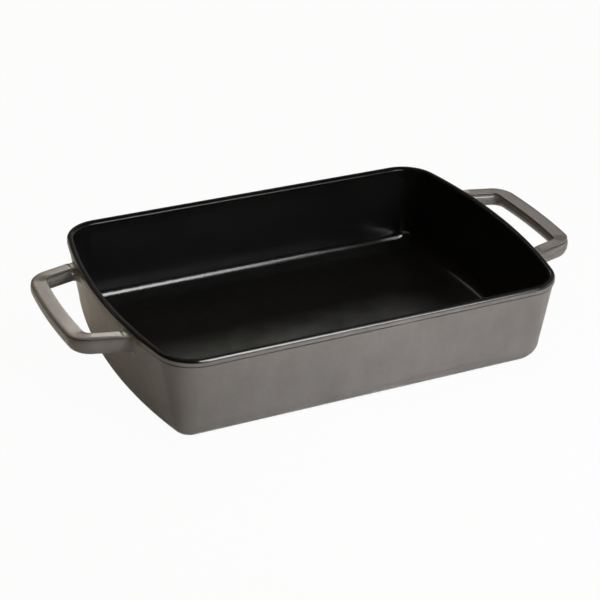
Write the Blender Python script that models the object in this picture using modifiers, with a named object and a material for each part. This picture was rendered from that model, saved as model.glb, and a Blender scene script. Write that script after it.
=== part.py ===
"""Roasting pan in enamelled cast iron, with a rolled rim and a loop handle on each short end.

Units are metres. +X runs along the pan, from the left handle to the right one. +Z is up.
The origin is at the middle of the resting face.
"""
import math

import bpy
import bmesh

MM = 0.001

# Outside of the pan, measured over the enamel at the rim
RIM_LENGTH = 300.0 * MM
RIM_WIDTH = 203.0 * MM
HEIGHT = 65.0 * MM
RIM_END_BOW = 14.0 * MM
RIM_CORNER_RADIUS = 25.9 * MM

# The drafted walls, where their planes would meet the table
FOOT_LENGTH = 280.6 * MM
FOOT_WIDTH = 181.8 * MM
FOOT_END_BOW = 12.1 * MM
FOOT_CORNER_RADIUS = 7.6 * MM

# Round edge between wall and base, and the corner radius of the flat base
BASE_EDGE_RADIUS = 16.9 * MM
BASE_CORNER_RADIUS = 2.0 * MM

# Rim bead
BEAD_HEIGHT = 4.4 * MM
BEAD_PROUD = 0.7 * MM
BEAD_LOWER_RADIUS = 0.7 * MM
RIM_OUTER_RADIUS = 1.3 * MM
RIM_INNER_RADIUS = 2.2 * MM

# Inside of the pan, measured over the enamel
WALL_THICKNESS = 4.4 * MM
FLOOR_HEIGHT = 5.0 * MM
INNER_FLOOR_RADIUS = 12.5 * MM
INNER_CORNER_RADIUS = 9.0 * MM

# Enamel coats, and the height at which the outer coat stops above the table
ENAMEL_THICKNESS = 0.5 * MM
ENAMEL_STOP_HEIGHT = 0.5 * MM

# Loop handle: where its outer edge runs, and its section
HANDLE_LENGTH = 33.4 * MM
HANDLE_ROOT_HALF_WIDTH = 57.8 * MM
HANDLE_END_HALF_WIDTH = 45.9 * MM
HANDLE_END_BOW = 2.7 * MM
HANDLE_CORNER_RADIUS = 16.4 * MM
HANDLE_DROP = 3.5 * MM
HANDLE_WIDTH = 11.0 * MM
HANDLE_WIDEST_DEPTH = 4.0 * MM
HANDLE_THICKNESS = 11.2 * MM
HANDLE_KEEL_OFFSET = 1.7 * MM
HANDLE_PLATE_WIDTH = 10.4 * MM
HANDLE_PLATE_EDGE_RADIUS = 0.7 * MM
HANDLE_PLATE_DEPTH = 1.0 * MM
HANDLE_PLATE_STEP = 0.4 * MM
HANDLE_ROOT_WIDTH = 14.1 * MM
HANDLE_FLARE_LENGTH = 7.0 * MM

# Space between neighbouring pieces
CLEARANCE = 0.3 * MM

# Segments on a quarter of the pan's outline and on round edges
END_STEPS = 4
CORNER_STEPS = 7
BASE_EDGE_STEPS = 5
INNER_EDGE_STEPS = 5
RIM_EDGE_STEPS = 3
HANDLE_CORNER_STEPS = 6
HANDLE_END_STEPS = 4
HANDLE_FLARE_STEPS = 3
PLATE_EDGE_STEPS = 2
SHOULDER_STEPS = 3
KEEL_STEPS = 5

# Finishes: base colour, metallic, roughness
IRON_FINISH = ((0.075, 0.074, 0.078), 0.85, 0.55)
GREY_FINISH = ((0.135, 0.128, 0.122), 0.0, 0.22)
BLACK_FINISH = ((0.008, 0.008, 0.009), 0.0, 0.38)

BEAD_BOTTOM = HEIGHT - BEAD_HEIGHT
HANDLE_REACH = RIM_LENGTH / 2 + HANDLE_LENGTH
ROOT_FLARE = HANDLE_ROOT_WIDTH / HANDLE_WIDTH
MERGE_DISTANCE = 0.01 * MM
SMALLEST_RADIUS = 0.1 * MM
SHARP_ANGLE = math.radians(40.0)
QUARTER_TURN = math.pi / 2


def clear_scene():
    for item in list(bpy.data.objects):
        bpy.data.objects.remove(item, do_unlink=True)


def new_collection(name):
    collection = bpy.data.collections.new(name)
    bpy.context.scene.collection.children.link(collection)
    return collection


def new_material(name, finish):
    """A plain Principled material with the piece's colour, metallic value and roughness."""
    colour, metallic, roughness = finish
    material = bpy.data.materials.new(name)
    material.use_nodes = True
    shader = material.node_tree.nodes["Principled BSDF"]
    shader.inputs["Base Color"].default_value = (*colour, 1.0)
    shader.inputs["Metallic"].default_value = metallic
    shader.inputs["Roughness"].default_value = roughness
    return material


def add_object(name, mesh, collection, material=None):
    item = bpy.data.objects.new(name, mesh)
    collection.objects.link(item)
    if material is not None:
        mesh.materials.clear()
        mesh.materials.append(material)
    return item


def wall_section(height):
    """Half length, half width, end bow and corner radius of the outer wall at a height.

    The wall is drafted up to the rim bead and upright behind it.
    """
    half_length = RIM_LENGTH / 2 - BEAD_PROUD
    half_width = RIM_WIDTH / 2 - BEAD_PROUD
    top = (half_length, half_width, RIM_END_BOW, RIM_CORNER_RADIUS - BEAD_PROUD)
    foot = (FOOT_LENGTH / 2, FOOT_WIDTH / 2, FOOT_END_BOW, FOOT_CORNER_RADIUS)
    share = min(height / BEAD_BOTTOM, 1.0)
    return [low + (high - low) * share for low, high in zip(foot, top)]


def edge_radius(radius, depth):
    """Radius of an outer edge seen at a depth below the surface."""
    return max(radius - depth, SMALLEST_RADIUS)


def quarter_ring(section, inset, height, least_corner):
    """Points of a quarter outline, from the +X axis round to the +Y axis, moved inwards by an inset.

    The end is a shallow arc, the side is straight, and a tangent arc joins them.
    """
    half_length, half_width, bow, corner = section
    end_radius = (half_width ** 2 + bow ** 2) / (2 * bow)
    end_centre = half_length - end_radius
    end_radius = end_radius - inset
    half_width = half_width - inset
    corner = max(corner - inset, least_corner)
    reach = math.sqrt((end_radius - corner) ** 2 - (half_width - corner) ** 2)
    tangent = math.atan2(half_width - corner, reach)
    points = []
    for step in range(END_STEPS):
        angle = tangent * step / END_STEPS
        points.append((end_centre + end_radius * math.cos(angle), end_radius * math.sin(angle), height))
    for step in range(CORNER_STEPS + 1):
        angle = tangent + (QUARTER_TURN - tangent) * step / CORNER_STEPS
        x = end_centre + reach + corner * math.cos(angle)
        y = half_width - corner + corner * math.sin(angle)
        points.append((x, y, height))
    points.append((0.0, half_width, height))
    return points


def base_edge_ring(depth, angle):
    """A ring on the round edge under the walls. The angle runs from 0 at the wall to a quarter turn."""
    section = wall_section(BASE_EDGE_RADIUS)
    radius = BASE_EDGE_RADIUS - depth
    inset = BASE_EDGE_RADIUS - radius * math.cos(angle)
    height = BASE_EDGE_RADIUS - radius * math.sin(angle)
    # The corner tightens from the wall's own radius to the flat base's radius
    corner = section[3] + (BASE_CORNER_RADIUS - section[3]) * (1 - math.cos(angle))
    section = (*section[:3], corner + inset)
    return quarter_ring(section, inset, height, BASE_CORNER_RADIUS)


def outer_wall_rings(depth, first_angle):
    """Rings from the base edge up the outside to the top of the rim, at a depth below the surface."""
    rings = []
    for step in range(BASE_EDGE_STEPS + 1):
        angle = first_angle * (1 - step / BASE_EDGE_STEPS)
        rings.append(base_edge_ring(depth, angle))
    rings.append(quarter_ring(wall_section(BEAD_BOTTOM), depth, BEAD_BOTTOM + depth, BASE_CORNER_RADIUS))
    rings.extend(bead_rings(depth))
    return rings


def bead_rings(depth):
    """The round lower edge, outer face and round outer top edge of the rim bead."""
    section = wall_section(HEIGHT)
    face = depth - BEAD_PROUD
    lower = edge_radius(min(BEAD_LOWER_RADIUS, BEAD_PROUD), depth)
    # The lower edge starts where it leaves the wall
    first_angle = math.acos(max(lower - BEAD_PROUD, 0.0) / lower)
    upper = edge_radius(RIM_OUTER_RADIUS, depth)
    rings = []
    for step in range(RIM_EDGE_STEPS + 1):
        angle = first_angle * (1 - step / RIM_EDGE_STEPS)
        inset = face + lower * (1 - math.cos(angle))
        height = BEAD_BOTTOM + depth + lower * (1 - math.sin(angle))
        rings.append(quarter_ring(section, inset, height, BASE_CORNER_RADIUS))
    for step in range(RIM_EDGE_STEPS + 1):
        angle = QUARTER_TURN * step / RIM_EDGE_STEPS
        inset = face + upper * (1 - math.cos(angle))
        height = HEIGHT - depth - upper * (1 - math.sin(angle))
        rings.append(quarter_ring(section, inset, height, BASE_CORNER_RADIUS))
    return rings


def inner_wall_rings(depth):
    """Rings from the rim's inner top edge down the inside to the edge of the flat floor."""
    section = wall_section(HEIGHT)
    face = WALL_THICKNESS - depth
    upper = edge_radius(RIM_INNER_RADIUS, depth)
    rings = []
    for step in range(RIM_EDGE_STEPS + 1):
        angle = QUARTER_TURN * (1 - step / RIM_EDGE_STEPS)
        inset = face - upper * (1 - math.cos(angle))
        height = HEIGHT - depth - upper * (1 - math.sin(angle))
        rings.append(quarter_ring(section, inset, height, INNER_CORNER_RADIUS + depth))
    rings.append(quarter_ring(wall_section(BEAD_BOTTOM), face, BEAD_BOTTOM, INNER_CORNER_RADIUS + depth))
    centre_height = FLOOR_HEIGHT + INNER_FLOOR_RADIUS
    radius = INNER_FLOOR_RADIUS + depth
    for step in range(INNER_EDGE_STEPS + 1):
        angle = QUARTER_TURN * step / INNER_EDGE_STEPS
        inset = WALL_THICKNESS + INNER_FLOOR_RADIUS - radius * math.cos(angle)
        height = centre_height - radius * math.sin(angle)
        rings.append(quarter_ring(wall_section(centre_height), inset, height, INNER_CORNER_RADIUS + depth))
    return rings


def lofted_quarter(name, rings, cap_first=False, cap_last=False, closed=False):
    """A quarter surface through a list of rings, open at the planes where Mirror completes it."""
    surface = bmesh.new()
    loops = [[surface.verts.new(point) for point in ring] for ring in rings]
    pairs = list(zip(loops, loops[1:]))
    if closed:
        pairs.append((loops[-1], loops[0]))
    for lower, upper in pairs:
        for index in range(len(lower) - 1):
            surface.faces.new((lower[index], lower[index + 1], upper[index + 1], upper[index]))
    if cap_first:
        middle = surface.verts.new((0.0, 0.0, rings[0][0][2]))
        surface.faces.new((middle, *reversed(loops[0])))
    if cap_last:
        middle = surface.verts.new((0.0, 0.0, rings[-1][0][2]))
        surface.faces.new((middle, *loops[-1]))
    mesh = bpy.data.meshes.new(name)
    surface.to_mesh(mesh)
    surface.free()
    return mesh


def add_mirror(item):
    """Complete a quarter into the whole piece."""
    mirror = item.modifiers.new("Quarter to whole", "MIRROR")
    mirror.use_axis = (True, True, False)
    mirror.merge_threshold = MERGE_DISTANCE


def smooth(item):
    item.data.shade_smooth()
    item.data.set_sharp_from_angle(angle=SHARP_ANGLE)


def enamel_stop_angle():
    """Where on the round base edge the outer coat ends."""
    return math.asin(1 - ENAMEL_STOP_HEIGHT / BASE_EDGE_RADIUS)


def make_pan_body(collection, material):
    """The iron casting: its foot is bare and flush with the coat, and the rest lies under the coats."""
    depth = ENAMEL_THICKNESS + CLEARANCE
    foot_angle = enamel_stop_angle() + CLEARANCE / BASE_EDGE_RADIUS
    rings = [base_edge_ring(0.0, QUARTER_TURN), base_edge_ring(0.0, foot_angle)]
    rings.extend(outer_wall_rings(depth, foot_angle))
    rings.extend(inner_wall_rings(depth))
    mesh = lofted_quarter("pan_body", rings, cap_first=True, cap_last=True)
    body = add_object("pan_body", mesh, collection, material)
    add_mirror(body)
    smooth(body)


def make_outer_enamel(collection, material):
    """The grey coat, from just above the table up the walls and over the rim bead."""
    outside = outer_wall_rings(0.0, enamel_stop_angle())
    inside = outer_wall_rings(ENAMEL_THICKNESS, enamel_stop_angle())
    rings = outside + inside[::-1]
    mesh = lofted_quarter("outer_enamel", rings, closed=True)
    coat = add_object("outer_enamel", mesh, collection, material)
    add_mirror(coat)
    smooth(coat)


def make_inner_enamel(collection, material):
    """The black coat, from the outer top edge of the rim across it, down the walls and over the floor."""
    section = wall_section(HEIGHT)
    start = RIM_OUTER_RADIUS - BEAD_PROUD + CLEARANCE
    upper = [quarter_ring(section, start, HEIGHT, INNER_CORNER_RADIUS)] + inner_wall_rings(0.0)
    lower = [quarter_ring(section, start, HEIGHT - ENAMEL_THICKNESS, INNER_CORNER_RADIUS)]
    lower.extend(inner_wall_rings(ENAMEL_THICKNESS))
    rings = lower[::-1] + upper
    mesh = lofted_quarter("inner_enamel", rings, cap_first=True, cap_last=True)
    coat = add_object("inner_enamel", mesh, collection, material)
    add_mirror(coat)
    smooth(coat)


def make_root_cutter(collection):
    """The pan's outer shape, grown by the clearance. It trims the handle roots to the wall and bead."""
    rings = outer_wall_rings(-CLEARANCE, QUARTER_TURN)
    mesh = lofted_quarter("root_cutter", rings, cap_first=True, cap_last=True)
    cutter = add_object("root_cutter", mesh, collection)
    add_mirror(cutter)
    cutter.hide_render = True
    cutter.display_type = "WIRE"
    return cutter


def handle_path():
    """Centre line of the +X handle in plan, as (x, y, section scale), from the -Y root to the +Y root."""
    inset = HANDLE_WIDTH / 2
    root = (RIM_LENGTH / 2 - RIM_END_BOW, HANDLE_ROOT_HALF_WIDTH)
    end = (HANDLE_REACH - HANDLE_END_BOW, HANDLE_END_HALF_WIDTH)
    arm_length = math.dist(root, end)
    along = ((end[0] - root[0]) / arm_length, (end[1] - root[1]) / arm_length)
    inwards = (along[1], -along[0])
    start = (root[0] + inwards[0] * inset, root[1] + inwards[1] * inset)
    end_radius = (HANDLE_END_HALF_WIDTH ** 2 + HANDLE_END_BOW ** 2) / (2 * HANDLE_END_BOW)
    end_centre = HANDLE_REACH - end_radius
    end_radius = end_radius - inset
    corner = HANDLE_CORNER_RADIUS - inset
    # The corner's centre lies one radius inside the arm and inside the end arc
    from_centre = (start[0] + inwards[0] * corner - end_centre, start[1] + inwards[1] * corner)
    projected = from_centre[0] * along[0] + from_centre[1] * along[1]
    squared = from_centre[0] ** 2 + from_centre[1] ** 2 - (end_radius - corner) ** 2
    travel = -projected + math.sqrt(projected ** 2 - squared)
    corner_centre = (end_centre + from_centre[0] + along[0] * travel, from_centre[1] + along[1] * travel)
    bar_angle = math.atan2(corner_centre[1], corner_centre[0] - end_centre)
    arm_angle = math.atan2(-inwards[1], -inwards[0])

    half = []
    for step in range(HANDLE_END_STEPS):
        angle = bar_angle * step / HANDLE_END_STEPS
        half.append((end_centre + end_radius * math.cos(angle), end_radius * math.sin(angle), 1.0))
    for step in range(HANDLE_CORNER_STEPS + 1):
        angle = bar_angle + (arm_angle - bar_angle) * step / HANDLE_CORNER_STEPS
        x = corner_centre[0] + corner * math.cos(angle)
        y = corner_centre[1] + corner * math.sin(angle)
        half.append((x, y, 1.0))
    wall_x = RIM_LENGTH / 2 - RIM_END_BOW * (HANDLE_ROOT_HALF_WIDTH / (RIM_WIDTH / 2)) ** 2
    wall_travel = (wall_x - start[0]) / along[0]
    for step in range(HANDLE_FLARE_STEPS + 1):
        share = step / HANDLE_FLARE_STEPS
        distance = wall_travel + HANDLE_FLARE_LENGTH * (1 - share)
        scale = 1 + (ROOT_FLARE - 1) * (1 - math.cos(share * QUARTER_TURN))
        half.append((start[0] + along[0] * distance, start[1] + along[1] * distance, scale))
    half.append((start[0], start[1], ROOT_FLARE))
    mirrored = [(x, -y, scale) for x, y, scale in half[:0:-1]]
    return mirrored + half


def handle_section():
    """The handle's section, with x to the outside of the loop and y up from its flat top.

    A thin plate with round edges lies on a body that swells out under it and closes in a keel.
    """
    plate = HANDLE_PLATE_WIDTH / 2
    body_start = plate - HANDLE_PLATE_STEP
    widest = HANDLE_WIDTH / 2
    shoulder_depth = HANDLE_WIDEST_DEPTH - HANDLE_PLATE_DEPTH
    keel_depth = HANDLE_THICKNESS - HANDLE_WIDEST_DEPTH
    outer, inner = [], []
    for side, points in ((1, outer), (-1, inner)):
        for step in range(PLATE_EDGE_STEPS + 1):
            angle = QUARTER_TURN * step / PLATE_EDGE_STEPS
            x = plate - HANDLE_PLATE_EDGE_RADIUS * (1 - math.sin(angle))
            points.append((side * x, -HANDLE_PLATE_EDGE_RADIUS * (1 - math.cos(angle))))
        points.append((side * plate, -HANDLE_PLATE_DEPTH))
        for step in range(SHOULDER_STEPS):
            angle = QUARTER_TURN * step / SHOULDER_STEPS
            x = body_start + (widest - body_start) * math.sin(angle)
            points.append((side * x, -HANDLE_PLATE_DEPTH - shoulder_depth * (1 - math.cos(angle))))
        reach = side * widest - HANDLE_KEEL_OFFSET
        for step in range(KEEL_STEPS + 1):
            angle = QUARTER_TURN * step / KEEL_STEPS
            x = HANDLE_KEEL_OFFSET + reach * math.cos(angle)
            points.append((x, -HANDLE_WIDEST_DEPTH - keel_depth * math.sin(angle)))
    return outer + inner[-2::-1]


def poly_curve(name, points, radii=None, cyclic=False):
    curve = bpy.data.curves.new(name, "CURVE")
    curve.dimensions = "2D"
    curve.fill_mode = "NONE"
    spline = curve.splines.new("POLY")
    spline.points.add(len(points) - 1)
    for index, (x, y) in enumerate(points):
        spline.points[index].co = (x, y, 0.0, 1.0)
        spline.points[index].radius = 1.0 if radii is None else radii[index]
    spline.use_cyclic_u = cyclic
    return curve


def handle_mesh(collection):
    """The loop swept along its path, before its roots are trimmed to the pan."""
    outline = poly_curve("handle_section", handle_section(), cyclic=True)
    section = add_object("handle_section", outline, collection)
    path = handle_path()
    curve = poly_curve("handle_path", [(x, y) for x, y, scale in path], [scale for x, y, scale in path])
    curve.bevel_mode = "OBJECT"
    curve.bevel_object = section
    curve.use_fill_caps = True
    sweep = add_object("handle_path", curve, collection)
    bpy.context.view_layer.update()
    evaluated = sweep.evaluated_get(bpy.context.evaluated_depsgraph_get())
    mesh = bpy.data.meshes.new_from_object(evaluated)
    mesh.name = "handle"
    surface = bmesh.new()
    surface.from_mesh(mesh)
    bmesh.ops.remove_doubles(surface, verts=surface.verts, dist=MERGE_DISTANCE)
    bmesh.ops.recalc_face_normals(surface, faces=surface.faces)
    surface.to_mesh(mesh)
    surface.free()
    bpy.data.objects.remove(sweep, do_unlink=True)
    bpy.data.objects.remove(section, do_unlink=True)
    return mesh


def make_handles(collection, cutters, material):
    """Two equal loops, one at each end. The left one is the right one turned half round."""
    mesh = handle_mesh(cutters)
    cutter = make_root_cutter(cutters)
    for name, turn in (("right_handle", 0.0), ("left_handle", math.pi)):
        handle = add_object(name, mesh, collection, material)
        handle.location.z = HEIGHT - HANDLE_DROP
        handle.rotation_euler.z = turn
        trim = handle.modifiers.new("Trim root to pan", "BOOLEAN")
        trim.operation = "DIFFERENCE"
        trim.object = cutter
        smooth(handle)


def main():
    clear_scene()
    parts = new_collection("roasting_pan")
    cutters = new_collection("cutters")
    iron = new_material("bare cast iron", IRON_FINISH)
    grey = new_material("grey outer enamel", GREY_FINISH)
    black = new_material("black inner enamel", BLACK_FINISH)
    make_pan_body(parts, iron)
    make_outer_enamel(parts, grey)
    make_inner_enamel(parts, black)
    make_handles(parts, cutters, new_material("grey handle enamel", GREY_FINISH))


main()
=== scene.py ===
"""Enamelled roasting pan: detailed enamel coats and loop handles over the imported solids, and their stage.

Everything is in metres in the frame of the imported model. +X runs along the pan, +Z is up, and the
pan stands on Z = 0.
"""

import math

import bmesh
import bpy
from bpy.props import FloatProperty, FloatVectorProperty, PointerProperty
from mathutils import Matrix, Vector, noise


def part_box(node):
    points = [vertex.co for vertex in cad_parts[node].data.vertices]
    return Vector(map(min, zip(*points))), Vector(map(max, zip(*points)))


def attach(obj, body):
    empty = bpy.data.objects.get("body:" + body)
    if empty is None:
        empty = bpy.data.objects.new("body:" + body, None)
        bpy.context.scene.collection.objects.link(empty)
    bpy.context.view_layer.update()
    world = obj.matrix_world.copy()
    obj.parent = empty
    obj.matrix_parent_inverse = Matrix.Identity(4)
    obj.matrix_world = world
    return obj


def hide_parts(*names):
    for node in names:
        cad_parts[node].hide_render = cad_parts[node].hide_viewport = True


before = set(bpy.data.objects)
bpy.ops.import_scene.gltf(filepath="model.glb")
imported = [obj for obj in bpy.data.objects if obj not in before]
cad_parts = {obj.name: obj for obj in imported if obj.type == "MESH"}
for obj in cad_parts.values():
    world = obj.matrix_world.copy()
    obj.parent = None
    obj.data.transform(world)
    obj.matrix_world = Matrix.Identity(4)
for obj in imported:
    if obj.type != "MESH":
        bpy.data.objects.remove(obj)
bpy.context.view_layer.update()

bl_info = {
    "name": "Enamelled roasting pan",
    "version": (1, 0, 0),
    "blender": (4, 5, 0),
    "location": "3D View > Sidebar > Roasting pan",
    "description": "Builds the enamel coats and loop handles of a cast iron roasting pan",
    "category": "Object",
}

MM = 0.001
QUARTER_TURN = math.pi / 2
SHARP_ANGLE = math.radians(50.0)
WELD_DISTANCE = 0.001 * MM

# Segments round a quarter of the pan, and along its profile
END_STEPS = 30
CORNER_STEPS = 30
SIDE_STEPS = 50
BASE_EDGE_STEPS = 12
WALL_STEPS = 8
BEAD_STEPS = 6
RIM_EDGE_STEPS = 8
INNER_EDGE_STEPS = 14
UNDER_EDGE_STEPS = 7
HIDDEN_EDGE_STEPS = 4
INNER_WALL_STEPS = 8

# Segments along half a handle and round its section
BAR_STEPS = 12
BEND_STEPS = 16
ARM_STEPS = 8
ROOT_STEPS = 8
TOP_EDGE_STEPS = 5
SHOULDER_STEPS = 8
KEEL_STEPS = 14

# Tries at finding where an arm meets the wall
WALL_TRIES = 12

# How far the back of a coat reaches beyond its thickness, into the gap to the iron
GAP_FILL = 0.25 * MM

# The black coat's face lies just behind the bead's, and the grey coat laps a little way under it
BLACK_SETBACK = 0.04 * MM
GREY_LAP, GREY_LAP_INSET = 0.35 * MM, 0.30 * MM

# The black coat's hidden underside at the rim: its lip, and where it turns flat
UNDER_LIP_INSET, UNDER_LIP_RISE = 0.35 * MM, 0.2 * MM
UNDER_TOP_INSET = 1.4 * MM

# The black coat's lower edge, as millimetres up and inwards
BLACK_EDGE_SHAPE = ((0.0, 0.22), (0.02, 0.10), (0.08, 0.02))

# Waves in the edge of a sprayed coat: about how many to a metre, and their share
LONG_WAVES, LONG_WAVE_SHARE = 45.0, 0.7
SHORT_WAVES, SHORT_WAVE_SHARE = 210.0, 0.6

# Where the plain wall ends under the bead, and the least depth of a groove face that gets the dark grey of
# painted shade
WALL_END, GROOVE_SHADE_DEPTH = 1.25 * MM, 0.05 * MM

# Groove under the bead: millimetres above the bead's bottom, and share of the groove's depth
GROOVE_SHAPE = (
    (-1.12, 0.02), (-1.05, 0.2), (-1.0, 0.6), (-0.88, 0.93), (-0.6, 1.0), (-0.2, 1.0), (-0.03, 0.85),
)

# Lower edge of the bead: millimetres above the bead's bottom, and share of how far it stands out
BEAD_EDGE_SHAPE = ((0.0, 0.2), (0.01, 0.55), (0.05, 0.8), (0.14, 0.95), (0.3, 1.0))

# Groove round a handle's plate: share of its depth, and millimetres above the plate's lower edge
PLATE_GROOVE_SHAPE = ((0.0, 0.15), (0.5, 0.0), (1.0, -0.12), (1.0, -0.32), (0.6, -0.48))

# Where a handle's body starts, in from the plate's edge and down from its lower edge
PLATE_FOOT_INSET, PLATE_FOOT_DROP = 0.1 * MM, 0.55 * MM

# How far the middle strip of the flat top reaches, as a share of the plate's half width
PLATE_MIDDLE = 0.45

# The bare arm beyond the plate: how far its top lies lower and its edge swells
BARE_SUNK, BARE_SWELL = 0.35 * MM, 0.22 * MM

# The way that the bare arm faces at its top and how far that turns, in quarter turns
BARE_FACING, BARE_TURN = 0.3, 0.5

# From the end of the plate to the bare arm, and the least way from each of them to the fillet
PLATE_TO_BARE = 0.5 * MM
PLATE_TO_FILLET, BARE_TO_FILLET = 0.4 * MM, 0.1 * MM

# How far a handle's root enters the wall
ROOT_DEPTH = 0.3 * MM

# Black enamel turns from satin to glossy between these distances from the floor and from the rim top
FLOOR_FADE = (0.5 * MM, 3.5 * MM)
RIM_FADE = (0.08 * MM, 0.18 * MM)

# How many times rougher the satin is on the floor and on the rim top, and its coat weight
FLOOR_ROUGHER, RIM_ROUGHER = 3.0, 5.5
SATIN_COAT = 0.06

# How high the orange peel of each enamel stands
GREY_PEEL, BLACK_PEEL = 0.02 * MM, 0.15 * MM

COATS_LOW, COATS_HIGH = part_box("outer_enamel")
LOOP_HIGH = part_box("right_handle")[1]


def length_setting(name, description, value):
    """A length that the sidebar shows in the scene's own unit."""
    return FloatProperty(
        name=name, description=description, default=value, min=0.0, precision=5, unit="LENGTH"
    )


def colour_setting(name, description, value):
    """A colour in linear light."""
    return FloatVectorProperty(
        name=name, description=description, default=value, min=0.0, max=1.0, size=3, subtype="COLOR"
    )


class PanSizes(bpy.types.PropertyGroup):
    """Sizes of the dish, its rim and its coats."""

    rim_length: length_setting("Rim length", "Length over the rim bead", COATS_HIGH.x - COATS_LOW.x)
    rim_width: length_setting("Rim width", "Width over the rim bead", COATS_HIGH.y - COATS_LOW.y)
    height: length_setting("Height", "From the table to the top of the rim", COATS_HIGH.z)
    rim_end_bow: length_setting("Rim end bow", "How far the ends curve out at the rim", 14.0 * MM)
    rim_corner: length_setting("Rim corner radius", "Corner radius in plan at the rim", 25.9 * MM)
    foot_length: length_setting("Foot length", "Where the drafted ends would meet the table", 280.6 * MM)
    foot_width: length_setting("Foot width", "Where the drafted sides would meet the table", 181.8 * MM)
    foot_end_bow: length_setting("Foot end bow", "How far the ends curve out at the table", 12.1 * MM)
    foot_corner: length_setting("Foot corner radius", "Corner radius in plan at the table", 7.6 * MM)
    base_edge: length_setting("Base edge radius", "Round edge between wall and base", 16.9 * MM)
    base_corner: length_setting("Base corner radius", "Corner radius of the flat base", 2.0 * MM)
    bead_height: length_setting("Bead height", "Height of the bead round the rim", 4.4 * MM)
    bead_proud: length_setting("Bead proud", "How far the bead stands out from the wall", 0.7 * MM)
    bead_flare: length_setting("Bead flare", "How much further out the bead is at its lower edge", 0.14 * MM)
    bead_groove: length_setting("Bead groove", "Depth of the groove under the bead", 0.55 * MM)
    rim_roof: length_setting("Rim roof radius", "Radius of the faint crown across the rim top", 5.0 * MM)
    rim_crown: length_setting("Rim crown radius", "Radius where the top of the rim turns outwards", 0.55 * MM)
    rim_shoulder: length_setting("Rim shoulder radius", "Radius of the rim's steep outer slope", 5.4 * MM)
    rim_brow: length_setting("Rim brow radius", "Radius where the slope turns into the bead's face", 0.5 * MM)
    rim_inner_edge: length_setting("Rim inner radius", "Round inner top edge of the rim", 2.4 * MM)
    wall: length_setting("Wall thickness", "Wall of the dish with both coats", 3.9 * MM)
    floor: length_setting("Floor thickness", "From the table to the cooking floor", 5.0 * MM)
    floor_edge: length_setting("Floor edge radius", "Round edge between floor and inner wall", 12.5 * MM)
    inner_corner: length_setting("Inner corner radius", "Smallest corner radius inside", 9.0 * MM)
    coat: length_setting("Coat thickness", "Thickness of the enamel", 0.5 * MM)
    coat_stop: length_setting("Coat stop height", "Where the outer coat ends above the table", 0.5 * MM)
    coat_edge: length_setting("Coat boundary", "From the rim top down to the inner coat's edge", 2.05 * MM)
    coat_waver: length_setting("Boundary waver", "How much the edge of the inner coat wanders", 0.12 * MM)


class HandleSizes(bpy.types.PropertyGroup):
    """Sizes of the two loop handles."""

    reach: length_setting("Reach", "From the middle of the pan to the end of a loop", LOOP_HIGH.x)
    root_half_width: length_setting("Root half width", "Half the width over the arms at the pan", 57.8 * MM)
    end_half_width: length_setting("End half width", "Half the width over the arms at the bar", 45.9 * MM)
    end_bow: length_setting("Bar bow", "How far the bar curves out", 2.7 * MM)
    bend: length_setting("Bend radius", "Outer radius between arm and bar", 16.4 * MM)
    top_height: length_setting("Top height", "Height of the flat top over the table", LOOP_HIGH.z)
    body_width: length_setting("Body width", "Width of a loop's body at its widest", 11.0 * MM)
    widest: length_setting("Widest level", "From the flat top down to where the body is widest", 4.0 * MM)
    thickness: length_setting("Thickness", "From the flat top to the keel", 11.2 * MM)
    bar_plate: length_setting("Plate width, bar", "Width of the flat plate on the bar", 10.4 * MM)
    arm_plate: length_setting("Plate width, arms", "Width of the flat plate on the arms", 7.6 * MM)
    plate_rise: length_setting("Plate rise", "How much the plate rises from the bar to the pan", 0.7 * MM)
    plate_gap: length_setting("Plate end", "From the end of the plate to the rim bead", 4.3 * MM)
    plate_edge: length_setting("Plate edge radius", "Round edge of the plate", 0.6 * MM)
    lip_depth: length_setting("Lip depth", "How far the plate stands out of the body", 1.0 * MM)
    groove: length_setting("Groove depth", "Depth of the fine line round the plate", 0.4 * MM)
    keel_offset: length_setting("Keel offset", "How far the keel lies towards the outside", 1.7 * MM)
    side_fillet: length_setting("Side fillet", "Fillet between arm and wall", 5.0 * MM)
    top_fillet: length_setting("Top fillet", "Fillet between the top of an arm and the bead", 1.4 * MM)


class EnamelColours(bpy.types.PropertyGroup):
    """Colours of the enamels and the bare iron."""

    grey_deep: colour_setting("Grey, thick", "Grey enamel where it is thick", (0.118, 0.113, 0.107))
    grey_pale: colour_setting("Grey, thin", "Grey enamel where it is thin", (0.166, 0.158, 0.152))
    # Painted shade: the two groove colours are a much darker grey that stands in for the shade deep in the
    # grooves under the bead and round the handle plates.
    groove_shade_deep: colour_setting("Grey, pooled", "Grey enamel deep in a groove", (0.030, 0.027, 0.025))
    groove_shade_pale: colour_setting("Grey, pooled thin", "Grey enamel at a groove's edge", (0.055, 0.051, 0.048))
    black_deep: colour_setting("Black, thick", "Black enamel where it is thick", (0.0030, 0.0030, 0.0032))
    black_pale: colour_setting("Black, thin", "Black enamel where it is thin", (0.0055, 0.0055, 0.0052))
    iron_dark: colour_setting("Iron, dark", "Bare iron between the grinding marks", (0.060, 0.058, 0.058))
    iron_bright: colour_setting("Iron, bright", "Bare iron on the grinding marks", (0.19, 0.185, 0.18))


def wall_section(sizes, height):
    """Half length, half width, end bow and corner radius of the outer wall at a height."""
    top = (
        sizes.rim_length / 2 - sizes.bead_proud,
        sizes.rim_width / 2 - sizes.bead_proud,
        sizes.rim_end_bow,
        sizes.rim_corner - sizes.bead_proud,
    )
    foot = (sizes.foot_length / 2, sizes.foot_width / 2, sizes.foot_end_bow, sizes.foot_corner)
    share = min(height / (sizes.height - sizes.bead_height), 1.0)
    return [low + (high - low) * share for low, high in zip(foot, top)]


def end_arc(section):
    """Centre and radius of the shallow arc in plan at the +X end of a section."""
    half_length, half_width, bow, _corner = section
    radius = (half_width**2 + bow**2) / (2 * bow)
    return half_length - radius, radius


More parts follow.
